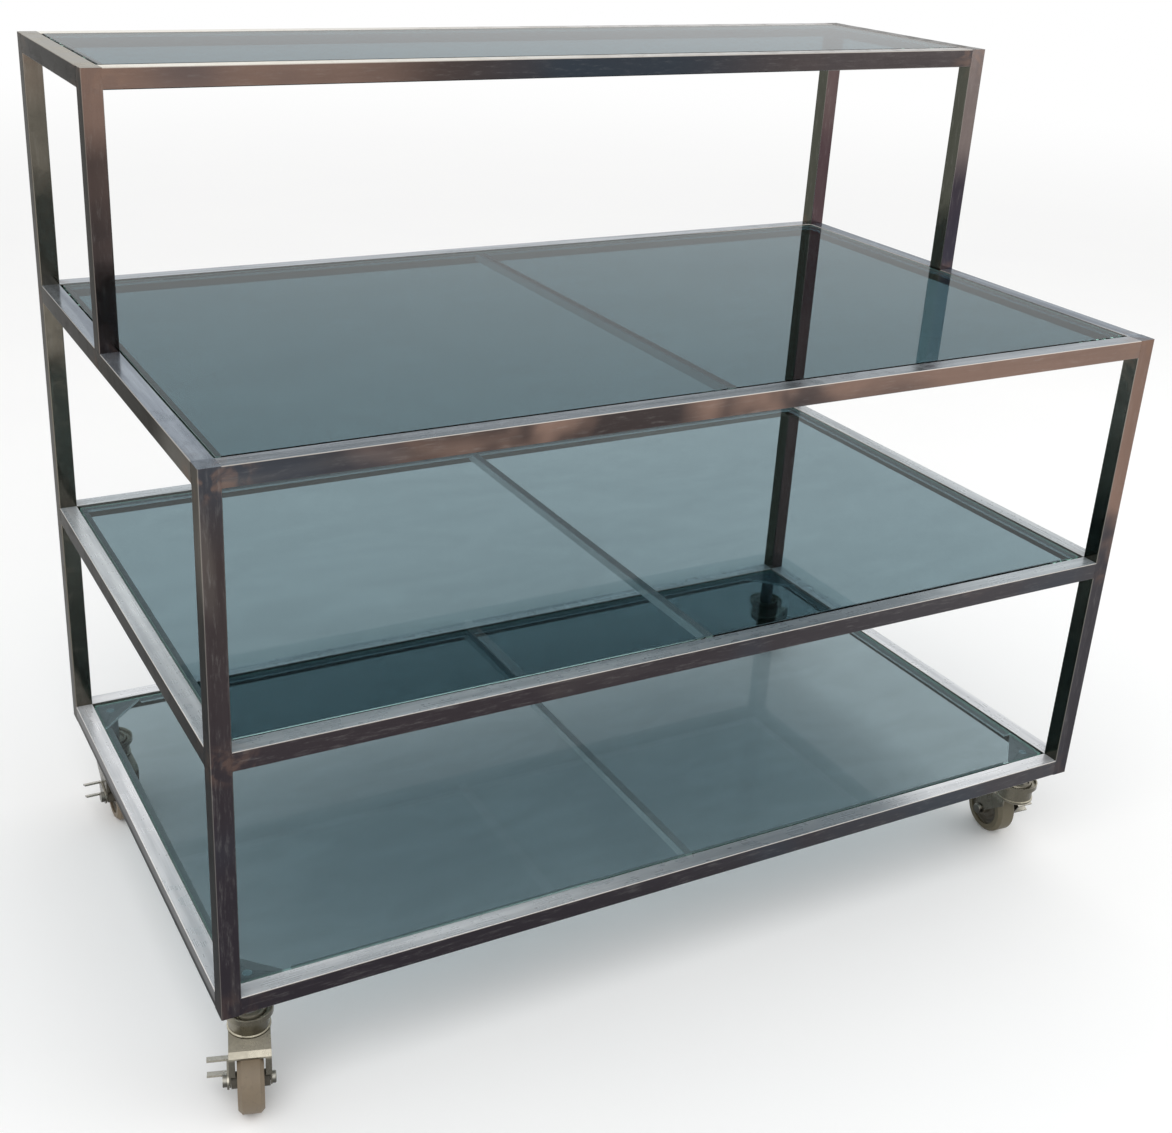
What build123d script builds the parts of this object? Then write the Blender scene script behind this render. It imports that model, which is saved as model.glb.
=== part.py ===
from build123d import *
import os
from math import cos, radians, sin, sqrt

# Wheeled buffet table: a welded square-tube frame, four glass shelves and four braked casters.
# Millimetres. Origin on the floor under the middle of the table.
# +X runs along the long side to the right, +Y runs to the back where the raised shelf is, +Z is up.

# Overall frame
table_length = 1340.0
table_depth = 768.0
riser_depth = 360.0
level_pitch = 334.0
frame_height_off_floor = 144.0

# Square tube
tube_size = 25.0
tube_wall = 1.5
tube_corner_radius = 1.5

# Glass shelves and what they lie on
glass_thickness = 8.0
glass_gap = 2.0
glass_edge_bevel = 0.8
ledge_width = 12.0
ledge_thickness = 3.0
bar_size = 12.0
bar_wall = 1.2
corner_plate_leg = 73.0
corner_plate_thickness = 5.0

# Where a caster hangs, and the stem that holds it; the inset is from the table's outer sides
caster_inset = 47.0
stem_radius = 6.0
stem_fit = 0.05
stem_end_below_plate_top = 0.5
socket_radius = 11.0
stem_head_radius = 9.5
stem_head_thickness = 3.0

# Fixed swivel head, heights measured down from the bottom of the frame
head_rim_radius = 30.5
head_rim_top_drop = 29.5
head_rim_height = 7.0
head_rim_width = 1.8
head_ring_radius = 20.0
head_ring_width = 3.0
head_ring_rise = 3.5
head_dish_depth = 4.0
head_sheet = 3.0
drum_radius = 25.5
drum_wall = 2.0
bead_radius = 27.0
bead_height = 3.0
bead_bevel = 1.0

# Turning fork
fork_over_wheel_gap = 3.5
fork_sheet = 2.0
fork_width = 51.0
fork_reach_past_axle = 3.0
fork_lip_run = 8.0
fork_lip_drop = 4.0
fork_leg_rear = -6.0
fork_leg_depth_at_rear = 12.0
fork_leg_end_radius = 8.5
fork_flange_width = 5.5
fork_flange_above_axle = 12.0
fork_boss_radius = 17.0
swivel_gap = 0.3

# Wheel
wheel_diameter = 80.0
tread_width = 32.0
tread_shoulder = 5.0
wheel_trail = 44.0
tread_depth = 12.0
core_width = 26.0
core_recess = 3.0
core_rim_width = 3.0
core_collar_width = 5.0
hub_radius = 10.0
hub_side_gap = 0.3
axle_radius = 4.0
axle_fit = 0.05
bolt_collar_width = 2.5
bolt_head_radius = 7.5
bolt_head_height = 5.0
nut_rounding = 1.7

# Brake lever: two tabs reach outwards from its plate, one over the other. Each is placed by
# the middle of its top face and rises towards the axle
lever_sheet = 2.5
lever_side_gap = 0.3
lever_end_radius = 10.5
lever_shoulder_angle = 60.0
tab_reach = 24.0
tab_length = 16.0
tab_slope = 25.0
upper_tab_ahead_of_axle = 25.0
upper_tab_above_axle = 14.0
lower_tab_ahead_of_axle = 17.0
lower_tab_below_axle = 2.0

# The way each caster's wheel trails, as an angle in degrees from +Y towards +X
caster_trail_angles = {
    "front_left": 197.0,
    "front_right": 4.0,
    "rear_left": 180.0,
    "rear_right": 60.0,
}

# Places worked out from the sizes above
half_length = table_length / 2
half_depth = table_depth / 2
inner_half_length = half_length - tube_size
inner_half_depth = half_depth - tube_size
frame_bottom = frame_height_off_floor
level_names = ("bottom", "middle", "main", "riser")
rail_top = {
    name: frame_bottom + tube_size + i * level_pitch for i, name in enumerate(level_names)
}
level_front = {name: -half_depth for name in level_names}
level_front["riser"] = half_depth - riser_depth
barred_levels = ("bottom", "middle", "main")
ledge_top_drop = glass_thickness

os.makedirs("parts", exist_ok=True)


def save(shape, node):
    export_step(shape, f"parts/{node}.step")


def block(x0, x1, y0, y1, z0, z1):
    size = (x1 - x0, y1 - y0, z1 - z0)
    return Pos((x0 + x1) / 2, (y0 + y1) / 2, (z0 + z1) / 2) * Box(*size)


def long_edges(solid, axis):
    return solid.edges().filter_by(axis)


def square_tube(x0, x1, y0, y1, z0, z1, axis, wall, radius, capped):
    """A square tube along one axis; a capped tube has its ends closed by the wall thickness."""
    outer = fillet(long_edges(block(x0, x1, y0, y1, z0, z1), axis), radius)
    cap = wall if capped else 0.0
    inset_x = cap if axis == Axis.X else wall
    inset_y = cap if axis == Axis.Y else wall
    inset_z = cap if axis == Axis.Z else wall
    hollow = block(
        x0 + inset_x, x1 - inset_x, y0 + inset_y, y1 - inset_y, z0 + inset_z, z1 - inset_z
    )
    return outer - hollow


def frame_tube(x0, x1, y0, y1, z0, z1, axis, capped=False):
    return square_tube(x0, x1, y0, y1, z0, z1, axis, tube_wall, tube_corner_radius, capped)


# Posts: the rear pair carries the raised shelf, the front pair ends at the main shelf,
# and two short legs stand on the main side rails
def post(side_x, front_y, z0, z1):
    x0 = side_x * half_length - (tube_size if side_x > 0 else 0.0)
    return frame_tube(x0, x0 + tube_size, front_y, front_y + tube_size, z0, z1, Axis.Z, True)


for side, side_x in (("left", -1), ("right", 1)):
    save(post(side_x, -half_depth, frame_bottom, rail_top["main"]), f"post_front_{side}")
    save(post(side_x, inner_half_depth, frame_bottom, rail_top["riser"]), f"post_rear_{side}")
    save(post(side_x, level_front["riser"], rail_top["main"], rail_top["riser"]), f"riser_leg_{side}")


# Rails: four at each level, each butted between two posts
def rails(level):
    top = rail_top[level]
    bottom = top - tube_size
    front = level_front[level]
    inner_front = front + tube_size
    shapes = {
        "front": frame_tube(
            -inner_half_length, inner_half_length, front, inner_front, bottom, top, Axis.X
        ),
        "rear": frame_tube(
            -inner_half_length, inner_half_length, inner_half_depth, half_depth, bottom, top, Axis.X
        ),
    }
    for side, x0 in (("left", -half_length), ("right", inner_half_length)):
        shapes[side] = frame_tube(
            x0, x0 + tube_size, inner_front, inner_half_depth, bottom, top, Axis.Y
        )
    return shapes


for level in level_names:
    for side, shape in rails(level).items():
        save(shape, f"rail_{level}_{side}")


# Middle bars: one runs front to back under the glass on each of the three deep levels
for level in barred_levels:
    top = rail_top[level] - ledge_top_drop
    save(
        square_tube(
            -bar_size / 2, bar_size / 2, -inner_half_depth, inner_half_depth,
            top - bar_size, top, Axis.Y, bar_wall, bar_wall / 2, False,
        ),
        f"bar_{level}",
    )


# Ledges: flat strips inside the rails; the long ones break at the middle bar,
# and on the bottom level all of them stop at the corner plates
def ledges(level):
    top = rail_top[level] - ledge_top_drop
    bottom = top - ledge_thickness
    front = level_front[level] + tube_size
    rear = inner_half_depth
    corner = corner_plate_leg if level == "bottom" else 0.0
    end_x = inner_half_length - corner
    spans = [(-end_x, end_x)]
    if level in barred_levels:
        spans = [(-end_x, -bar_size / 2), (bar_size / 2, end_x)]
    strips = []
    for x0, x1 in spans:
        strips.append(block(x0, x1, front, front + ledge_width, bottom, top))
        strips.append(block(x0, x1, rear - ledge_width, rear, bottom, top))
    side_margin = max(corner, ledge_width)
    for x0 in (-inner_half_length, inner_half_length - ledge_width):
        strips.append(
            block(x0, x0 + ledge_width, front + side_margin, rear - side_margin, bottom, top)
        )
    return Compound(children=strips)


for level in level_names:
    save(ledges(level), f"ledges_{level}")


# Glass: one pane a level, flush with the rails and clear of them by a small gap
for level in level_names:
    top = rail_top[level]
    pane = block(
        -inner_half_length + glass_gap, inner_half_length - glass_gap,
        level_front[level] + tube_size + glass_gap, inner_half_depth - glass_gap,
        top - glass_thickness, top,
    )
    save(chamfer(pane.edges(), glass_edge_bevel), f"glass_{level}")


# Corner plates with the caster sockets welded under them
plate_top = rail_top["bottom"] - ledge_top_drop
plate_bottom = plate_top - corner_plate_thickness
fork_underside = wheel_diameter + fork_over_wheel_gap
fork_top = fork_underside + fork_sheet
head_rim_top = frame_bottom - head_rim_top_drop
head_dish = head_rim_top - head_dish_depth
socket_bottom = head_dish
stem_bore = stem_radius + stem_fit


def caster_sides(caster):
    """Which side of the table a caster is on along X and along Y, as -1 or 1."""
    return (-1 if "left" in caster else 1, -1 if "front" in caster else 1)


def caster_place(caster):
    side_x, side_y = caster_sides(caster)
    return (side_x * (half_length - caster_inset), side_y * (half_depth - caster_inset))


def corner_plate(caster):
    side_x, side_y = caster_sides(caster)
    corner = (side_x * inner_half_length, side_y * inner_half_depth)
    along_x = (corner[0] - side_x * corner_plate_leg, corner[1])
    along_y = (corner[0], corner[1] - side_y * corner_plate_leg)
    outline = make_face(Polyline(corner, along_x, along_y, close=True))
    plate = Pos(0, 0, plate_bottom) * extrude(outline, corner_plate_thickness, dir=(0, 0, 1))
    return plate - Pos(*caster_place(caster)) * upright(stem_bore, plate_bottom, plate_top)


def upright(radius, z0, z1, bore=0.0):
    """A round bar, or a ring if it has a bore, standing on the swivel axis of a caster."""
    bar = Pos(0, 0, (z0 + z1) / 2) * Cylinder(radius, z1 - z0)
    if bore:
        bar -= Pos(0, 0, (z0 + z1) / 2) * Cylinder(bore, z1 - z0)
    return bar


# Stem: runs from the corner plate down through the head and the fork,
# and its spread lower end keeps the fork on
stem_head_top = fork_underside - swivel_gap
stem_head_bottom = stem_head_top - stem_head_thickness
stem_top = plate_top - stem_end_below_plate_top
stem = upright(stem_radius, stem_head_bottom, stem_top)
stem += upright(stem_head_radius, stem_head_bottom, stem_head_top)
socket = upright(socket_radius, socket_bottom, plate_bottom, stem_bore)

corners = list(caster_trail_angles)
save(Compound(children=[corner_plate(caster) for caster in corners]), "corner_plates")
save(Compound(children=[Pos(*caster_place(caster)) * socket for caster in corners]), "stem_sockets")
save(Compound(children=[Pos(*caster_place(caster)) * stem for caster in corners]), "caster_stems")


# Caster parts are drawn with the swivel axis on Z, the wheel trailing towards +X
# and the brake on the -Y side
def head():
    rim_bottom = head_rim_top - head_rim_height
    ring_top = head_dish + head_ring_rise
    ring_outer = head_ring_radius + head_ring_width / 2
    ring_inner = head_ring_radius - head_ring_width / 2
    cavity_top = head_dish - head_sheet
    bead_bottom = fork_top + swivel_gap
    bead_top = bead_bottom + bead_height
    inner_radius = drum_radius - drum_wall
    profile = Polyline(
        (stem_bore, head_dish),
        (ring_inner - head_ring_width / 2, head_dish),
        (ring_inner, ring_top),
        (ring_outer, ring_top),
        (ring_outer + head_ring_width / 2, head_dish),
        (head_rim_radius - 2 * head_rim_width, head_dish),
        (head_rim_radius - head_rim_width, head_rim_top),
        (head_rim_radius, head_rim_top),
        (head_rim_radius, rim_bottom),
        (drum_radius, rim_bottom - head_sheet),
        (drum_radius, bead_top),
        (bead_radius, bead_top - bead_bevel),
        (bead_radius, bead_bottom),
        (inner_radius, bead_bottom),
        (inner_radius, cavity_top),
        (stem_bore, cavity_top),
        close=True,
    )
    return revolve(Plane.XZ * make_face(profile), Axis.Z)


def side_plate(outline, y0, y1):
    """A sheet standing on edge, from an outline in X and Z and two Y faces."""
    face = Plane.XZ * outline
    return Pos(0, y1, 0) * extrude(face, y1 - y0, dir=(0, -1, 0))


axle_height = wheel_diameter / 2
core_radius = axle_height - tread_depth
fork_half_width = fork_width / 2
leg_inner = fork_half_width - fork_sheet
fork_front_reach = wheel_trail + fork_reach_past_axle
lip_end = fork_front_reach + fork_lip_run
lip_low = fork_top - fork_lip_drop


def leg_outline():
    x, z, r = wheel_trail, axle_height, fork_leg_end_radius
    blade = Polyline(
        (fork_leg_rear, fork_top),
        (fork_front_reach, fork_top),
        (lip_end, lip_low),
        (x + r, z),
        (x - r, z),
        (fork_leg_rear, fork_top - fork_leg_depth_at_rear),
        close=True,
    )
    return make_face(blade) + Pos(x, z) * Circle(r)


def leg_flange_outline():
    """The leg's front edge, turned inwards, from the lip down to just above the axle."""
    z = axle_height + fork_flange_above_axle
    share_up = fork_flange_above_axle / (lip_low - axle_height)
    leg_end_front = wheel_trail + fork_leg_end_radius
    x = leg_end_front + share_up * (lip_end - leg_end_front)
    return make_face(
        Polyline(
            (lip_end, lip_low), (x, z), (x - fork_sheet, z), (lip_end - fork_sheet, lip_low),
            close=True,
        )
    )


def cross_bar(radius, y0, y1):
    """A round bar along the axle, between two Y faces."""
    centre = Pos(wheel_trail, (y0 + y1) / 2, axle_height)
    return centre * Rot(90, 0, 0) * Cylinder(radius, abs(y1 - y0))


def fork():
    top_sheet = block(
        fork_leg_rear, fork_front_reach, -fork_half_width, fork_half_width, fork_underside, fork_top
    )
    top_sheet += upright(fork_half_width, fork_underside, fork_top)
    lip_length = sqrt(fork_lip_run**2 + fork_lip_drop**2)
    sheet_on_slope = fork_sheet * lip_length / fork_lip_run
    lip = make_face(
        Polyline(
            (fork_front_reach, fork_top),
            (lip_end, lip_low),
            (lip_end, lip_low - sheet_on_slope),
            (fork_front_reach, fork_top - sheet_on_slope),
            close=True,
        )
    )
    body = top_sheet + side_plate(lip, -fork_half_width, fork_half_width)
    body += side_plate(leg_outline(), leg_inner, fork_half_width)
    body += side_plate(leg_outline(), -fork_half_width, -leg_inner)
    flange_inner = leg_inner - fork_flange_width
    body += side_plate(leg_flange_outline(), flange_inner, leg_inner)
    body += side_plate(leg_flange_outline(), -leg_inner, -flange_inner)
    boss_top = head_dish - head_sheet - swivel_gap
    body += upright(fork_boss_radius, fork_top, boss_top)
    body -= upright(stem_bore, fork_underside, boss_top)
    return body - cross_bar(axle_radius + axle_fit, -fork_half_width, fork_half_width)


def wheel_ring(profile):
    """Turn a half profile, drawn as distance along the axle and radius, about the axle."""
    turned = revolve(Plane.YZ * make_face(profile), Axis.Y)
    return Pos(wheel_trail, 0, axle_height) * turned


def tread():
    radius = wheel_diameter / 2
    half = tread_width / 2
    return wheel_ring(
        Polyline(
            (-half, core_radius),
            (-half, radius - tread_shoulder),
            (-half + tread_shoulder, radius),
            (half - tread_shoulder, radius),
            (half, radius - tread_shoulder),
            (half, core_radius),
            close=True,
        )
    )


def wheel_core():
    half = core_width / 2
    hub_half = leg_inner - hub_side_gap
    bore = axle_radius + axle_fit
    recess_inner = hub_radius + core_collar_width
    recess_outer = core_radius - core_rim_width
    right_side = [
        (hub_half, bore),
        (hub_half, hub_radius),
        (half, hub_radius),
        (half, recess_inner),
        (half - core_recess, recess_inner + core_recess),
        (half - core_recess, recess_outer - core_recess),
        (half, recess_outer),
        (half, core_radius),
    ]
    left_side = [(-y, r) for y, r in reversed(right_side)]
    return wheel_ring(Polyline(*right_side, *left_side, close=True))


lever_inner = fork_half_width + lever_side_gap
lever_outer = lever_inner + lever_sheet
clamp_face = lever_outer + lever_side_gap
collar_radius = axle_radius + bolt_collar_width
tab_end = -lever_outer - tab_reach


# The bolt head bears on the fork through its own collar, which passes through the lever,
# so the lever stays free to turn
def axle():
    bolt = cross_bar(axle_radius, -clamp_face, fork_half_width + bolt_head_height)
    bolt += cross_bar(collar_radius, -clamp_face, -fork_half_width)
    bolt += cross_bar(bolt_head_radius, -clamp_face - bolt_head_height, -clamp_face)
    nut = cross_bar(bolt_head_radius, fork_half_width, fork_half_width + bolt_head_height)
    nut -= cross_bar(axle_radius, fork_half_width, fork_half_width + bolt_head_height)
    nut = fillet(nut.edges().group_by(Axis.Y)[-1].sort_by(SortBy.RADIUS)[-1], nut_rounding)
    return Compound(children=[bolt, nut])


def tab_profile(ahead, above):
    """Corners of a tab's sloping sheet from the side: low end, high end, then the underside."""
    slope = radians(tab_slope)
    middle_x, middle_z = wheel_trail - ahead, axle_height + above
    run, rise = tab_length / 2 * cos(slope), tab_length / 2 * sin(slope)
    under_x, under_z = lever_sheet * sin(slope), -lever_sheet * cos(slope)
    low = (middle_x - run, middle_z - rise)
    high = (middle_x + run, middle_z + rise)
    return low, high, (high[0] + under_x, high[1] + under_z), (low[0] + under_x, low[1] + under_z)


def brake_lever():
    x, z, r = wheel_trail, axle_height, lever_end_radius
    shoulder = radians(lever_shoulder_angle)
    upper_tab = tab_profile(upper_tab_ahead_of_axle, upper_tab_above_axle)
    lower_tab = tab_profile(lower_tab_ahead_of_axle, -lower_tab_below_axle)
    outline = make_face(
        Polyline(
            upper_tab[0],
            upper_tab[1],
            (x + r * cos(shoulder), z + r * sin(shoulder)),
            (x, z - r),
            lower_tab[3],
            lower_tab[0],
            close=True,
        )
    )
    lever = side_plate(outline + Pos(x, z) * Circle(r), -lever_outer, -lever_inner)
    for profile in (upper_tab, lower_tab):
        lever += side_plate(make_face(Polyline(*profile, close=True)), tab_end, -lever_inner)
    return lever - cross_bar(collar_radius + axle_fit, -lever_outer, -lever_inner)


caster_parts = {
    "head": head(),
    "fork": fork(),
    "tread": tread(),
    "wheel": wheel_core(),
    "axle": axle(),
    "brake": brake_lever(),
}

for caster, trail_angle in caster_trail_angles.items():
    place = Pos(*caster_place(caster)) * Rot(0, 0, 90 - trail_angle)
    for name, shape in caster_parts.items():
        save(place * shape, f"caster_{caster}_{name}")
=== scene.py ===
import math

import bmesh
import bpy
from mathutils import Matrix, Vector


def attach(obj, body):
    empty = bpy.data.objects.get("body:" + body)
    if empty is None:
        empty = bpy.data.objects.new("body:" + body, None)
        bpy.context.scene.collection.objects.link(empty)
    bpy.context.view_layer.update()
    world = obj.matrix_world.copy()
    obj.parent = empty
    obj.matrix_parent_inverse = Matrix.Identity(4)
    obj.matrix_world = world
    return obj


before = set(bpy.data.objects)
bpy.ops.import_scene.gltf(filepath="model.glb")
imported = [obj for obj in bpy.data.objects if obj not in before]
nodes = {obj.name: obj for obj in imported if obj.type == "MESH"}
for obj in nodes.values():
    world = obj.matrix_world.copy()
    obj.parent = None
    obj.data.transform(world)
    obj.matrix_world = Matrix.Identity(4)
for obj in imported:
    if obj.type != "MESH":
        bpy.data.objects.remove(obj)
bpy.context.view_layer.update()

# The table's own sizes, in metres
TABLE_LENGTH = 1.340
TABLE_DEPTH = 0.768
RISER_DEPTH = 0.360
FRAME_BOTTOM = 0.144
LEVEL_PITCH = 0.334
TUBE = 0.025
TUBE_CORNER = 0.0015
LEVELS = ("bottom", "middle", "main", "riser")
LEVEL_TOP = {name: FRAME_BOTTOM + TUBE + LEVEL_PITCH * i for i, name in enumerate(LEVELS)}
HALF_LENGTH = TABLE_LENGTH / 2
HALF_DEPTH = TABLE_DEPTH / 2
RISER_FRONT = HALF_DEPTH - RISER_DEPTH

# The photograph's frame and the camera that took it
IMAGE_WIDTH = 1172
IMAGE_HEIGHT = 1133
FOCAL_PIXELS = 1559.5
CENTRE_PIXEL = (525.07, 520.86)
CAMERA_PLACE = (-1.06535, -1.80604, 1.41588)
CAMERA_RIGHT = Vector((0.88737, -0.45918, 0.04153))
CAMERA_UP = Vector((0.14767, 0.36839, 0.91787))
CAMERA_REACH = 200.0
SENSOR = 36.0

# Places, in metres, between which the steel's colouring changes
FRONT_BAND = (-0.30, -0.20)
REAR_BAND = (0.30, 0.36)
RIGHT_BAND = (0.40, 0.50)
OVER_BOTTOM_BAND = (0.25, 0.45)
UNDER_MAIN_BAND = (0.60, 0.70)
OVER_MAIN_BAND = (0.80, 0.81)
RISER_BAND = (1.06, 1.12)
OVER_WHEEL_BAND = (0.076, 0.082)

# How far a normal points up, and sideways, while a face turns into a top and into a side
TOP_FACING = (0.55, 0.85)
SIDE_FACING = (0.60, 0.80)

# Heat colour round the welds: how strong it is at each level, and how far from the table's
# outer faces it ends and is full
HEAT_SHARES = {"bottom": 0.25, "middle": 0.55, "main": 1.0, "riser": 0.8}
HEAT_END = 0.075
HEAT_FULL = 0.028

# Screen colours of the tubes' front and rear faces, painted reflections of a dim room
PLUM_LOW = (50, 46, 51)
PLUM_HIGH = (63, 56, 55)
PLUM_RIGHT = (78, 77, 80)
ROSY = (132, 109, 98)
SLATE = (58, 68, 78)
NAVY = (46, 58, 68)
REAR_OLIVE = (110, 106, 95)
LEG_LOW = (58, 54, 66)
LEG_HIGH = (134, 122, 118)
WINE = (86, 66, 68)

# Screen colours of their side faces, painted reflections and painted gleams
SIDE_LOW = (36, 38, 41)
SIDE_HIGH = (56, 53, 46)
SIDE_REAR = (92, 88, 76)
SIDE_RIGHT = (78, 79, 71)
SIDE_GLEAM = (136, 133, 126)
SIDE_SILVER = (172, 172, 174)
POST_GLEAM = (122, 118, 110)

# Screen colours of their top faces, painted reflections. For each way a tube runs come the
# dim and pale streaks of the middle level, then those of the main level
TOP_STREAKS = {
    "x": (((158, 167, 172), (184, 191, 195)), ((128, 137, 145), (156, 163, 171))),
    "y": (((184, 190, 194), (210, 215, 217)), ((170, 179, 190), (194, 203, 212))),
    "z": (((158, 167, 172), (184, 191, 195)), ((150, 158, 168), (174, 182, 191))),
}
BOTTOM_STREAKS = ((212, 215, 218), (236, 237, 239))
TOP_SHADE = (92, 105, 113)
RISER_TOP_LEFT = (222, 216, 200)
RISER_TOP_RIGHT = (112, 108, 103)

# Screen colours on the tubes: a painted glint and a painted arris highlight, the welds' heat stain
# and pale scuffs
GLINT = (150, 144, 136)
HEAT_STAIN = (150, 120, 102)
ARRIS_HIGHLIGHT = (204, 198, 190)
SCUFF = (208, 206, 202)

# Screen colours of the other pieces, dim and pale where there are two
SATIN_BRUSHED = ((240, 244, 243), (252, 253, 252))
SATIN_CLOUDED = (222, 230, 228)
# Glass tints, darker from the low shelves to the upper ones: painted shade
GLASS_LOW = ((140, 158, 164), (150, 168, 173))
GLASS_HIGH = ((88, 118, 127), (98, 127, 136))
GLASS_HIGHEST = ((66, 94, 103), (76, 103, 111))
GLASS_EDGE = (176, 222, 208)
GLASS_SHADOW = (242, 246, 248)
GLASS_EDGE_SHADOW = (232, 244, 240)
TREAD_TAUPE = ((98, 86, 69), (119, 105, 86))
TREAD_SHADE_RIGHT = (82, 77, 58)
# Tread colour of the casters at the right: painted shade under the table
TREAD_SCUFF = (82, 74, 62)
# Core colour, darker than the tread: painted shade on the wheel's sides
CORE_BROWN = ((58, 54, 46), (80, 74, 62))
FLOOR_WHITE = ((246, 246, 246), (249, 249, 248))

# Sockets of Blender's Mix node when it mixes colours
MIX_FACTOR = 0
MIX_FIRST = 6
MIX_SECOND = 7
MIX_RESULT = 2


def linear(screen, share=1.0):
    """An RGBA colour from screen values of 0 to 255, each taken at a share."""

    def channel(value):
        value = value * share / 255
        return value / 12.92 if value <= 0.04045 else ((value + 0.055) / 1.055) ** 2.4

    red, green, blue = screen
    return (channel(red), channel(green), channel(blue), 1.0)


class Graph:
    """A node tree, with short ways to add shader nodes to it and join them."""

    def __init__(self, tree):
        self.tree = tree

    def put(self, socket, value):
        if isinstance(value, bpy.types.NodeSocket):
            self.tree.links.new(value, socket)
        else:
            socket.default_value = value

    def add(self, kind, **settings):
        node = self.tree.nodes.new("ShaderNode" + kind)
        for name, value in settings.items():
            setattr(node, name, value)
        return node

    def place(self):
        """Where a point lies on its own piece, in metres."""
        return self.add("TexCoord").outputs["Object"]

    def normal(self):
        return self.add("NewGeometry").outputs["Normal"]

    def seen(self):
        """1 on the rays that show a thing to the eye, straight or by gloss or glass, else 0."""
        path = self.add("LightPath").outputs
        return self.largest(
            [path["Is Camera Ray"], path["Is Glossy Ray"], path["Is Transmission Ray"]]
        )

    def split(self, vector):
        node = self.add("SeparateXYZ")
        self.put(node.inputs[0], vector)
        return node.outputs

    def scaled(self, vector, scale):
        node = self.add("VectorMath", operation="MULTIPLY")
        self.put(node.inputs[0], vector)
        self.put(node.inputs[1], scale)
        return node.outputs[0]

    def math(self, operation, first, second=0.0):
        node = self.add("Math", operation=operation)
        self.put(node.inputs[0], first)
        self.put(node.inputs[1], second)
        return node.outputs[0]

    def chain(self, operation, values):
        total = values[0]
        for value in values[1:]:
            total = self.math(operation, total, value)
        return total

    def times(self, *values):
        return self.chain("MULTIPLY", values)

    def plus(self, *values):
        return self.chain("ADD", values)

    def largest(self, values):
        return self.chain("MAXIMUM", values)

    def unsigned(self, value):
        return self.math("ABSOLUTE", value)

    def ramp(self, value, low, high, start=0.0, end=1.0):
        """A smooth step from start to end as the value goes from low to high."""
        node = self.add("MapRange", interpolation_type="SMOOTHSTEP")
        for socket, item in zip(node.inputs, (value, low, high, start, end)):
            self.put(socket, item)
        return node.outputs[0]

    def near(self, value, centre, inside, outside):
        """1 within one distance of a centre and 0 beyond the other."""
        gap = self.unsigned(self.math("SUBTRACT", value, centre))
        return self.ramp(gap, inside, outside, 1.0, 0.0)

    def noise(self, vector, scale, detail=3.0, rough=0.5, twist=0.0):
        node = self.add("TexNoise")
        self.put(node.inputs["Vector"], vector)
        node.inputs["Scale"].default_value = scale
        node.inputs["Detail"].default_value = detail
        node.inputs["Roughness"].default_value = rough
        node.inputs["Distortion"].default_value = twist
        return node.outputs["Fac"]

    def cells(self, vector, scale):
        """A value of 0 to 1 that stays even within each cell of a pattern."""
        node = self.add("TexVoronoi")
        self.put(node.inputs["Vector"], vector)
        node.inputs["Scale"].default_value = scale
        return self.split(node.outputs["Color"])[0]

    def mix(self, factor, first, second, blend="MIX"):
        node = self.add("Mix", data_type="RGBA", blend_type=blend)
        self.put(node.inputs[MIX_FACTOR], factor)
        self.put(node.inputs[MIX_FIRST], first)
        self.put(node.inputs[MIX_SECOND], second)
        return node.outputs[MIX_RESULT]

    def between(self, factor, screens):
        """A colour that goes from the first to the second of two screen colours."""
        first, second = screens
        return self.mix(factor, linear(first), linear(second))

    def paint(self, under, screen, amount):
        """A screen colour laid over another colour, by an amount of 0 to 1."""
        return self.mix(amount, under, linear(screen))

    def shaded(self, colour, share):
        """A colour multiplied by a share."""
        grey = self.add("CombineColor")
        for socket in grey.inputs:
            self.put(socket, share)
        return self.mix(1.0, colour, grey.outputs[0], "MULTIPLY")


class Material(Graph):
    """One material and its Principled shader."""

    def __init__(self, name):
        self.material = bpy.data.materials.new(name)
        self.material.use_nodes = True
        super().__init__(self.material.node_tree)
        self.shader = self.tree.nodes["Principled BSDF"]
        self.output = self.tree.nodes["Material Output"]

    def set(self, **values):
        """Set or join the Principled shader's inputs, with _ for a space in a name."""
        for name, value in values.items():
            self.put(self.shader.inputs[name.replace("_", " ")], value)

    def bump(self, height, strength, distance):
        node = self.add("Bump")
        node.inputs["Strength"].default_value = strength
        node.inputs["Distance"].default_value = distance
        self.put(node.inputs["Height"], height)
        self.put(self.shader.inputs["Normal"], node.outputs[0])

    def give_way(self, other, factor):
        """Put another shader in the Principled one's place, by a factor."""
        blend = self.add("MixShader")
        for socket, item in zip(blend.inputs, (factor, self.shader.outputs[0], other.outputs[0])):
            self.put(socket, item)
        self.put(self.output.inputs["Surface"], blend.outputs[0])


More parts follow.
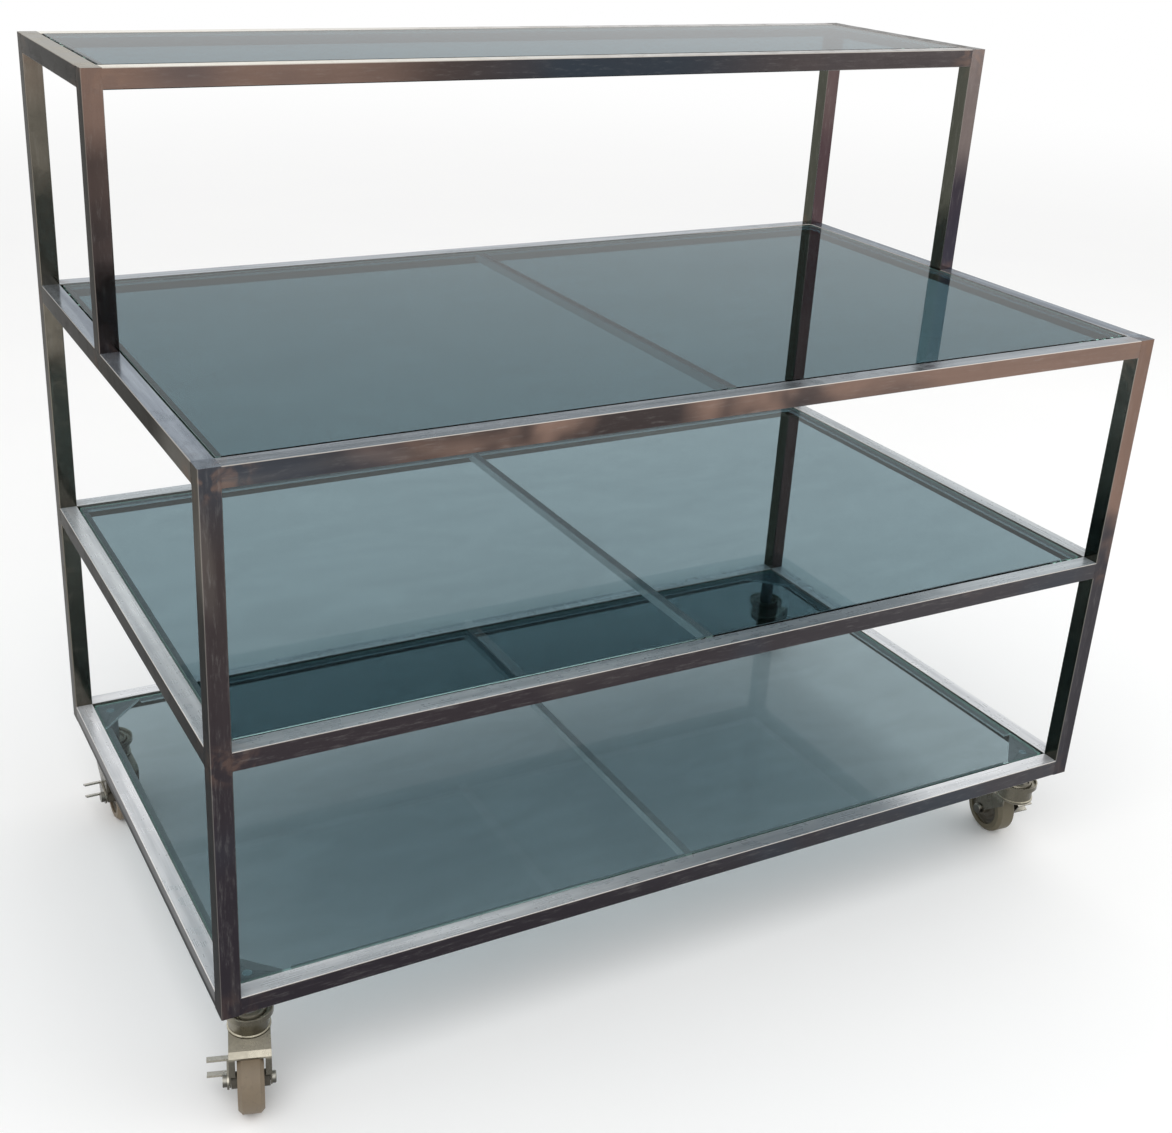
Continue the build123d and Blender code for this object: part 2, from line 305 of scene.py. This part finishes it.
class TubeSteel(Material):
    """Steel of the square tubes along one axis, with a colour for each face that paints its
    reflection.
    """

    def __init__(self, name, along):
        super().__init__(name)
        self.along = along
        self.spot = self.place()
        self.x, self.y, self.z = self.split(self.spot)
        self.nx, self.ny, self.nz = self.split(self.normal())
        self.front = self.ramp(self.y, *FRONT_BAND, 1.0, 0.0)
        self.rear = self.ramp(self.y, *REAR_BAND)
        self.right = self.ramp(self.x, *RIGHT_BAND)
        self.on_riser = self.ramp(self.z, *RISER_BAND)

    def drawn_out(self, along_scale, across_scale):
        """Places for a pattern that is drawn out along the tube."""
        scale = [along_scale if axis == self.along else across_scale for axis in "xyz"]
        return self.scaled(self.spot, scale)

    def front_colour(self):
        """Front faces' painted reflection: plum-dark at the left and below, rosy at the right and
        above.
        """
        drift = self.noise(self.spot, 4.5, twist=0.6)
        colour = self.between(self.ramp(self.z, 0.30, 0.85), (PLUM_LOW, PLUM_HIGH))
        colour = self.paint(colour, PLUM_RIGHT, self.ramp(self.x, -0.35, 0.65, 0.0, 0.6))
        tilt = self.plus(self.times(self.x, 0.55), self.times(self.z, 1.6), drift)
        rosy = self.times(self.ramp(tilt, 1.66, 1.84), self.ramp(self.y, -0.36, 0.00, 0.92, 0.15))
        riser_tilt = self.plus(self.x, self.times(drift, 0.5))
        riser_rosy = self.ramp(riser_tilt, -0.20, 0.10, 0.80, 0.08)
        colour = self.paint(colour, ROSY, self.ramp(self.z, *RISER_BAND, rosy, riser_rosy))
        blue = self.ramp(self.noise(self.spot, 3.1, detail=2.0), 0.56, 0.70)
        colour = self.paint(colour, SLATE, self.times(blue, 0.55))
        riser_middle = self.times(self.near(self.x, 0.05, 0.05, 0.30), self.on_riser)
        colour = self.paint(colour, NAVY, self.times(riser_middle, 0.75))
        colour = self.paint(colour, REAR_OLIVE, self.times(self.rear, 0.7))
        return self.right_uprights(colour) if self.along == "z" else colour

    def right_uprights(self, colour):
        """Painted reflection: right raised leg pale above, navy below; the post behind it
        wine-dark.
        """
        behind_front = self.ramp(self.y, -0.10, 0.00)
        leg = self.times(self.right, behind_front, self.ramp(self.z, *OVER_MAIN_BAND))
        leg_colour = self.between(self.ramp(self.z, 0.96, 1.04), (LEG_LOW, LEG_HIGH))
        colour = self.mix(self.times(leg, 0.75), colour, leg_colour)
        return self.paint(colour, WINE, self.times(self.right, self.rear, 0.7))

    def side_colour(self):
        """Outer side faces' painted reflection: darkest low at the front, olive-grey above and to
        the rear.
        """
        warmth = self.ramp(self.plus(self.z, self.times(self.y, 0.5)), 0.15, 0.85)
        colour = self.between(warmth, (SIDE_LOW, SIDE_HIGH))
        colour = self.paint(colour, SIDE_REAR, self.times(self.rear, 0.6))
        if self.along == "y":
            colour = self.side_rails(colour)
        colour = self.paint(colour, SIDE_RIGHT, self.right)
        if self.along == "z":
            # Painted gleam on the upper part of the front posts' sides
            post_top = self.times(self.ramp(self.z, 0.66, 0.74), self.front)
            colour = self.paint(colour, POST_GLEAM, self.times(post_top, 0.6))
        return colour

    def side_rails(self, colour):
        """Painted highlights: main rails' sides brighten to the front, the bottom rails' above
        their edge.
        """
        main_front = self.times(self.front, self.ramp(self.z, *UNDER_MAIN_BAND))
        colour = self.paint(colour, SIDE_GLEAM, self.times(main_front, 0.8))
        above_edge = self.ramp(self.z, 0.1515, 0.1555)
        on_bottom = self.ramp(self.z, 0.20, 0.21, 1.0, 0.0)
        return self.paint(colour, SIDE_SILVER, self.times(above_edge, on_bottom))

    def upright_colour(self):
        """Front and side faces, with painted glints drawn out along the tube."""
        sideways = self.ramp(self.unsigned(self.nx), *SIDE_FACING)
        colour = self.mix(sideways, self.front_colour(), self.side_colour())
        drawn = self.noise(self.drawn_out(1.0, 7.0), 2.2, rough=0.6, twist=0.4)
        return self.paint(colour, GLINT, self.times(self.ramp(drawn, 0.60, 0.78), 0.18))

    def top_colour(self, streak):
        """Top faces' painted reflection: silver, brightest on the bottom level, fading right on the
        riser.
        """
        streaked = self.ramp(streak, 0.35, 0.65)
        middle, main = (self.between(streaked, tones) for tones in TOP_STREAKS[self.along])
        upper = self.mix(self.ramp(self.z, *UNDER_MAIN_BAND), middle, main)
        bottom = self.between(streaked, BOTTOM_STREAKS)
        colour = self.mix(self.ramp(self.z, *OVER_BOTTOM_BAND), bottom, upper)
        if self.along == "x":
            colour = self.front_rail_tops(colour)
        rightwards = self.ramp(self.x, -0.60, 0.45)
        riser = self.between(rightwards, (RISER_TOP_LEFT, RISER_TOP_RIGHT))
        return self.mix(self.on_riser, colour, riser)

    def front_rail_tops(self, colour):
        """Painted shade: the front rails' tops darken to the right, but not the low ones' right
        ends.
        """
        strength = self.ramp(self.z, *UNDER_MAIN_BAND, 0.75, 0.45)
        low = self.ramp(self.z, *UNDER_MAIN_BAND, 1.0, 0.0)
        low_end = self.times(self.ramp(self.x, 0.30, 0.42), low)
        kept = self.math("SUBTRACT", 1.0, low_end)
        dark = self.times(self.ramp(self.x, -0.45, 0.15), self.front, strength, kept)
        return self.paint(colour, TOP_SHADE, dark)

    def weld_heat(self):
        """How strongly the welds' heat has coloured the steel round each joint, in swirls."""
        at_level = self.largest([
            self.times(self.near(self.z, LEVEL_TOP[level] - TUBE / 2, 0.008, 0.034), share)
            for level, share in HEAT_SHARES.items()
        ])
        at_end = self.ramp(self.unsigned(self.x), HALF_LENGTH - HEAT_END, HALF_LENGTH - HEAT_FULL)
        at_rear = self.ramp(self.y, HALF_DEPTH - HEAT_END, HALF_DEPTH - HEAT_FULL)
        at_front = self.ramp(self.y, HEAT_END - HALF_DEPTH, HEAT_FULL - HALF_DEPTH)
        at_leg = self.near(self.y, RISER_FRONT + TUBE / 2, 0.018, 0.050)
        at_leg = self.times(at_leg, self.ramp(self.z, *OVER_MAIN_BAND))
        at_post = self.largest([at_rear, at_front, at_leg])
        swirl = self.ramp(self.noise(self.spot, 26.0, twist=1.6), 0.44, 0.66)
        return self.times(at_level, at_end, at_post, swirl)

    def highlight_arrises_and_scuff(self, colour):
        """Painted highlights on the arrises, the upper ones most, and pale scuffs along the tube.
        """
        flat = self.largest([self.unsigned(part) for part in (self.nx, self.ny, self.nz)])
        arris = self.ramp(flat, 0.90, 0.985, 1.0, 0.0)
        arris_light = self.ramp(self.nz, 0.15, 0.45, 0.16, 0.60)
        colour = self.paint(colour, ARRIS_HIGHLIGHT, self.times(arris, arris_light))
        scuffs = self.noise(self.drawn_out(1.0, 7.0), 30.0, detail=6.0, rough=0.75)
        return self.paint(colour, SCUFF, self.times(self.ramp(scuffs, 0.50, 0.85), 0.14))


def polished_tube(name, along, edge_tint):
    """Polished square tube with painted reflections: dark upright faces with rosy stretches, pale
    tops.
    """
    look = TubeSteel(name, along)
    streak = look.noise(look.drawn_out(1.0, 22.0), 3.0, detail=4.0, rough=0.55)
    fine = look.noise(look.drawn_out(4.0, 260.0), 2.0, detail=2.0)
    smudge = look.noise(look.spot, 38.0, detail=2.0, rough=0.6, twist=0.4)
    heat = look.weld_heat()
    upwards = look.ramp(look.nz, *TOP_FACING)

    colour = look.mix(upwards, look.upright_colour(), look.top_colour(streak))
    colour = look.paint(colour, HEAT_STAIN, look.times(heat, 0.32))
    # Painted reflection: the colour brightens and dims in streaks along the tube
    colour = look.shaded(colour, look.plus(look.times(streak, 0.36), 0.81))
    colour = look.highlight_arrises_and_scuff(colour)

    rough = look.plus(look.times(look.ramp(smudge, 0.42, 0.70), 0.12), 0.07)
    rough = look.plus(rough, look.times(fine, 0.08), look.times(heat, 0.10))
    scuffed_top = look.times(upwards, look.ramp(look.z, 0.55, 0.80, 1.0, 0.25))
    rough = look.plus(rough, look.times(scuffed_top, 0.16))
    metal = look.math("SUBTRACT", 1.0, look.times(scuffed_top, 0.55))
    look.set(Base_Color=colour, Metallic=metal, Roughness=rough, Specular_Tint=edge_tint)
    ripple = look.plus(look.times(streak, 0.9), look.times(fine, 0.06))
    look.bump(ripple, strength=0.22, distance=0.0006)
    return look.material


def satin_strip(name, share):
    """Plain satin steel, at a share of the pale tone that shows under the glass."""
    look = Material(name)
    place = look.place()
    brushed = look.noise(look.scaled(place, [30.0, 30.0, 200.0]), 3.0, rough=0.6)
    cloud = look.noise(place, 9.0)
    dim, pale = (linear(tone, share) for tone in SATIN_BRUSHED)
    colour = look.mix(look.ramp(brushed, 0.3, 0.7), dim, pale)
    colour = look.mix(look.times(cloud, 0.3), colour, linear(SATIN_CLOUDED, share))
    rough = look.plus(look.times(brushed, 0.2), 0.36)
    look.set(Base_Color=colour, Metallic=0.08, Roughness=rough)
    look.bump(brushed, strength=0.15, distance=0.0003)
    return look.material


def shelf_glass(name, refraction):
    """Grey-blue glass with greener edges and faint wiping marks. Its tint is painted shade, clearer
    on the low shelves and darker higher up.
    """
    look = Material(name)
    place = look.place()
    _, _, height = look.split(place)
    _, _, nz = look.split(look.normal())
    edge = look.ramp(look.unsigned(nz), 0.70, 0.97, 1.0, 0.0)
    cloud = look.noise(place, 3.0, twist=0.5)
    wiped = look.noise(look.scaled(place, [5.0, 16.0, 1.0]), 1.0, detail=5.0, rough=0.65, twist=1.5)
    low, high, highest = (
        look.between(cloud, tones) for tones in (GLASS_LOW, GLASS_HIGH, GLASS_HIGHEST)
    )
    # Painted shade: the tint darkens from the low shelves to the upper ones
    body = look.mix(look.ramp(height, 0.10, 0.80), low, high)
    body = look.mix(look.ramp(height, 0.60, 0.80), body, highest)
    body = look.shaded(body, look.ramp(wiped, 0.35, 0.70, 0.965, 1.045))
    colour = look.paint(body, GLASS_EDGE, edge)
    rough = look.ramp(wiped, 0.52, 0.80, 0.0, 0.07)
    look.set(Base_Color=colour, Roughness=rough, IOR=refraction, Transmission_Weight=1.0)
    clear = look.add("BsdfTransparent")
    look.put(clear.inputs["Color"], look.between(edge, (GLASS_SHADOW, GLASS_EDGE_SHADOW)))
    look.give_way(clear, look.add("LightPath").outputs["Is Shadow Ray"])
    return look.material


def plated_steel(name, shade, upright_share, rough_base, side_gleam=0.0, crown_gleam=0.0):
    """Pressed and plated steel with painted light: pale on top, painted shade on upright faces,
    brightest on slopes as a painted highlight.

    The upright share sets the painted shade of upright faces. The side gleam is how much a
    turned piece's left and right flanks brighten, and the crown gleam how much an upright face
    above the wheel does, both painted highlights.
    """
    look = Material(name)
    place = look.place()
    x, _, z = look.split(place)
    nx, _, nz = look.split(look.add("TexCoord").outputs["Normal"])
    spangle = look.cells(place, 260.0)
    cloud = look.noise(place, 60.0, detail=4.0, rough=0.6)
    grime = look.ramp(look.noise(place, 25.0, detail=4.0, rough=0.6, twist=0.5), 0.45, 0.72)
    # Painted light: upright faces shaded, slopes and flat tops lit, flanks and crown highlighted
    upright = linear(shade, upright_share)
    flank = linear(shade)
    slope = linear(shade, 1.14)
    shade_and_grime = linear(shade, 0.55)
    turned = look.ramp(look.unsigned(nx), 0.62, 0.95, 0.0, side_gleam)
    crown = look.ramp(z, *OVER_WHEEL_BAND, 0.0, crown_gleam)
    colour = look.mix(look.largest([turned, crown]), upright, flank)
    # Painted shade on the casters at the right, under the table
    colour = look.mix(look.ramp(x, 0.30, 0.50, 0.0, 0.75), colour, shade_and_grime)
    colour = look.mix(look.ramp(nz, 0.15, 0.75), colour, slope)
    colour = look.mix(look.ramp(nz, 0.92, 0.99, 0.0, 0.8), colour, flank)
    colour = look.shaded(colour, look.plus(look.times(spangle, 0.12), 0.94))
    # Random grime, in the same dark tone as the painted shade
    colour = look.mix(look.times(grime, 0.30), colour, shade_and_grime)
    rough = look.plus(look.times(cloud, 0.16), rough_base, look.times(grime, 0.12))
    metal = look.ramp(nz, 0.30, 0.90, 1.0, 0.45)
    look.set(Base_Color=colour, Metallic=metal, Roughness=rough)
    scratch = look.noise(look.scaled(place, [900.0, 900.0, 120.0]), 1.0, detail=2.0, rough=0.6)
    look.bump(look.plus(look.times(cloud, 0.5), scratch), strength=0.08, distance=0.0002)
    return look.material


def tread_rubber(name):
    """Smooth taupe rubber with scuffs, with painted shade, more olive, on the casters at the right.
    """
    look = Material(name)
    place = look.place()
    x, _, _ = look.split(place)
    cloud = look.noise(place, 45.0, detail=4.0, rough=0.6)
    scuff = look.ramp(look.noise(place, 130.0, detail=4.0, rough=0.7, twist=0.8), 0.55, 0.72)
    colour = look.between(cloud, TREAD_TAUPE)
    colour = look.paint(colour, TREAD_SHADE_RIGHT, look.ramp(x, 0.30, 0.50, 0.0, 0.8))
    colour = look.paint(colour, TREAD_SCUFF, look.times(scuff, 0.35))
    look.set(Base_Color=colour, Roughness=look.plus(look.times(cloud, 0.25), 0.42))
    look.bump(look.noise(place, 900.0, detail=2.0, rough=0.6), strength=0.2, distance=0.0003)
    return look.material


def moulded_core(name):
    """Matte moulded plastic, darker than the tread as painted shade on the wheel's sides."""
    look = Material(name)
    place = look.place()
    cloud = look.noise(place, 70.0, detail=4.0, rough=0.6)
    grain = look.noise(place, 1400.0, detail=2.0)
    rough = look.plus(look.times(grain, 0.2), 0.5)
    look.set(Base_Color=look.between(cloud, CORE_BROWN), Roughness=rough)
    look.bump(grain, strength=0.25, distance=0.0003)
    return look.material


# Materials. The dim tint weakens what a tube mirrors at a slant, on all but the long ones
FULL_TINT = (1.0, 1.0, 1.0, 1.0)
DIM_TINT = (0.38, 0.38, 0.38, 1.0)
tube_x = polished_tube("polished_tube_x", "x", FULL_TINT)
tube_y = polished_tube("polished_tube_y", "y", DIM_TINT)
tube_z = polished_tube("polished_tube_z", "z", DIM_TINT)
strips = satin_strip("satin_strip", share=1.0)
# The sockets take the strip steel at 0.58 of its tone: painted shade under the corner plates
socket_steel = satin_strip("socket_steel", share=0.58)
shelf_pane = shelf_glass("shelf_glass_tinted", refraction=1.16)
riser_pane = shelf_glass("riser_glass_tinted", refraction=1.08)
caster_materials = {
    "head": plated_steel("head_plating", (178, 172, 154), 0.50, 0.16, side_gleam=0.5),
    "fork": plated_steel("fork_plating", (184, 178, 162), 0.52, 0.18, crown_gleam=0.6),
    "axle": plated_steel("bolt_plating", (138, 136, 128), 0.60, 0.22, side_gleam=0.4),
    "brake": plated_steel("brake_plating", (164, 160, 148), 0.60, 0.16),
    "tread": tread_rubber("taupe_rubber"),
    "wheel": moulded_core("core_plastic"),
}


def material_for(node):
    """The material of a CAD piece, by the piece's name."""
    last_word = node.rsplit("_", 1)[1]
    if node.startswith(("post_", "riser_leg_")):
        return tube_z
    if node.startswith("rail_"):
        return tube_x if last_word in ("front", "rear") else tube_y
    if node.startswith("glass_"):
        return riser_pane if last_word == "riser" else shelf_pane
    if node == "stem_sockets":
        return socket_steel
    return caster_materials.get(last_word, strips)


for name, thing in nodes.items():
    thing.data.materials.clear()
    thing.data.materials.append(material_for(name))


# Weld seams: the rounded corner of one tube leaves a narrow groove beside the flat end of
# the next. The weld fills it and stands proud by up to twice its crown, in waves along it
ARC_STEPS = 4
SEAM_PIECES = 8
SEAM_MARGIN = TUBE_CORNER / 3
SEAM_CROWN = 0.00006
SEAM_WAVE = 19.0
SEAM_WAVE_BY_X = 40.0
SEAM_WAVE_BY_Z = 17.0


def groove_outline():
    """The groove's section, with its outer corner at the origin and the round tube towards -u."""
    points = [(0.0, 0.0), (-TUBE_CORNER, 0.0)]
    for step in range(1, ARC_STEPS):
        angle = math.radians(90 * step / ARC_STEPS)
        points.append(
            (-TUBE_CORNER * (1 - math.sin(angle)), TUBE_CORNER * (1 - math.cos(angle)))
        )
    points.append((0.0, TUBE_CORNER))
    return points


def add_seam(seam_mesh, corner, towards_end, inward, run):
    """One filled groove: corner is its start, and run the vector along it."""
    corner, towards_end, inward, run = map(Vector, (corner, towards_end, inward, run))
    outline = groove_outline()
    start = SEAM_WAVE_BY_X * corner.x + SEAM_WAVE_BY_Z * corner.z
    rings = []
    for step in range(SEAM_PIECES + 1):
        share = step / SEAM_PIECES
        crown = SEAM_CROWN * (1 + math.sin(SEAM_WAVE * share + start))
        ring = []
        for u, v in outline:
            point = corner + run * share + towards_end * u + inward * v
            if v == 0.0:
                point -= inward * crown
            ring.append(seam_mesh.verts.new(point))
        rings.append(ring)
    count = len(outline)
    for first, second in zip(rings, rings[1:]):
        for i in range(count):
            j = (i + 1) % count
            seam_mesh.faces.new((first[i], first[j], second[j], second[i]))
    seam_mesh.faces.new(rings[0])
    seam_mesh.faces.new(rings[-1])


def seams_of(level):
    """Corner, way to the flat end, way inward and run of every groove at one level."""
    top = LEVEL_TOP[level] - SEAM_MARGIN
    downwards = (0.0, 0.0, 2 * SEAM_MARGIN - TUBE)
    backwards = (0.0, TUBE, 0.0)
    front = RISER_FRONT if level == "riser" else -HALF_DEPTH
    to_rear, to_front, up = (0, 1, 0), (0, -1, 0), (0, 0, 1)
    seams = []
    for side in (-1, 1):
        outer = side * HALF_LENGTH
        inner = side * (HALF_LENGTH - TUBE)
        to_middle, to_outside = (-side, 0, 0), (side, 0, 0)
        seams.append(((inner, front, top), to_middle, to_rear, downwards))
        seams.append(((inner, HALF_DEPTH, top), to_middle, to_front, downwards))
        seams.append(((outer, front + TUBE, top), to_rear, to_middle, downwards))
        seams.append(((outer, HALF_DEPTH - TUBE, top), to_front, to_middle, downwards))
        if level == "main":
            foot = LEVEL_TOP[level]
            seams.append(((outer, RISER_FRONT, foot), up, to_middle, backwards))
            seams.append(((inner, RISER_FRONT, foot), up, to_outside, backwards))
    return seams


def mesh_object(name, shape):
    """A new object in the scene, from a bmesh, which is freed."""
    mesh = bpy.data.meshes.new(name)
    shape.to_mesh(mesh)
    shape.free()
    thing = bpy.data.objects.new(name, mesh)
    bpy.context.scene.collection.objects.link(thing)
    return thing


for level in LEVELS:
    seam_mesh = bmesh.new()
    for seam in seams_of(level):
        add_seam(seam_mesh, *seam)
    bmesh.ops.recalc_face_normals(seam_mesh, faces=seam_mesh.faces)
    welds = mesh_object(f"weld_seams_{level}", seam_mesh)
    welds.data.materials.append(tube_z)
    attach(welds, "frame")


# Floor: pale and plain near the table, fading to the white of the world far off
FLOOR_RADIUS = 80.0
FLOOR_SIDES = 96
FLOOR_FADE = (2.5, 9.0)


def floor_material():
    look = Material("studio_floor")
    place = look.place()
    x, y, _ = look.split(place)
    far = look.math("SQRT", look.plus(look.times(x, x), look.times(y, y)))
    colour = look.between(look.noise(place, 2.0, detail=2.0), FLOOR_WHITE)
    look.set(Base_Color=colour, Roughness=0.9, Specular_IOR_Level=0.1)
    look.give_way(look.add("Emission"), look.times(look.seen(), look.ramp(far, *FLOOR_FADE)))
    return look.material


floor_disc = bmesh.new()
bmesh.ops.create_circle(floor_disc, cap_ends=True, radius=FLOOR_RADIUS, segments=FLOOR_SIDES)
floor = mesh_object("studio_floor", floor_disc)
floor.data.materials.append(floor_material())

# World: white where it is seen, a little dimmer as light
WORLD_LIGHT = 0.90
world = bpy.data.worlds.new("studio_world")
bpy.context.scene.world = world
world.use_nodes = True
sky = Graph(world.node_tree)
background = sky.tree.nodes["Background"]
background.inputs["Color"].default_value = (1.0, 1.0, 1.0, 1.0)
sky.put(background.inputs["Strength"], sky.ramp(sky.seen(), 0.0, 1.0, WORLD_LIGHT, 1.0))


def soft_lamp(name, place, target, size, power):
    """A square lamp that faces a target."""
    lamp = bpy.data.lights.new(name, "AREA")
    lamp.shape = "SQUARE"
    lamp.size = size
    lamp.energy = power
    thing = bpy.data.objects.new(name, lamp)
    bpy.context.scene.collection.objects.link(thing)
    thing.location = place
    aim = Vector(target) - Vector(place)
    thing.rotation_mode = "QUATERNION"
    thing.rotation_quaternion = aim.to_track_quat("-Z", "Y")


soft_lamp("key_lamp", (-2.2, -2.4, 3.2), target=(0.0, 0.0, 0.5), size=4.4, power=75.0)
soft_lamp("fill_lamp", (2.6, -1.2, 2.6), target=(0.0, 0.0, 0.6), size=4.4, power=30.0)

# Camera
camera_data = bpy.data.cameras.new("camera")
camera_data.sensor_width = SENSOR
camera_data.lens = SENSOR * FOCAL_PIXELS / IMAGE_WIDTH
camera_data.shift_x = (IMAGE_WIDTH / 2 - CENTRE_PIXEL[0]) / IMAGE_WIDTH
camera_data.shift_y = (CENTRE_PIXEL[1] - IMAGE_HEIGHT / 2) / IMAGE_WIDTH
camera_data.clip_end = CAMERA_REACH
camera = bpy.data.objects.new("camera", camera_data)
bpy.context.scene.collection.objects.link(camera)
backward = CAMERA_RIGHT.cross(CAMERA_UP)
turn = Matrix((CAMERA_RIGHT, CAMERA_UP, backward)).transposed().to_4x4()
camera.matrix_world = Matrix.Translation(CAMERA_PLACE) @ turn
bpy.context.scene.camera = camera

bpy.context.scene.view_settings.view_transform = "Standard"
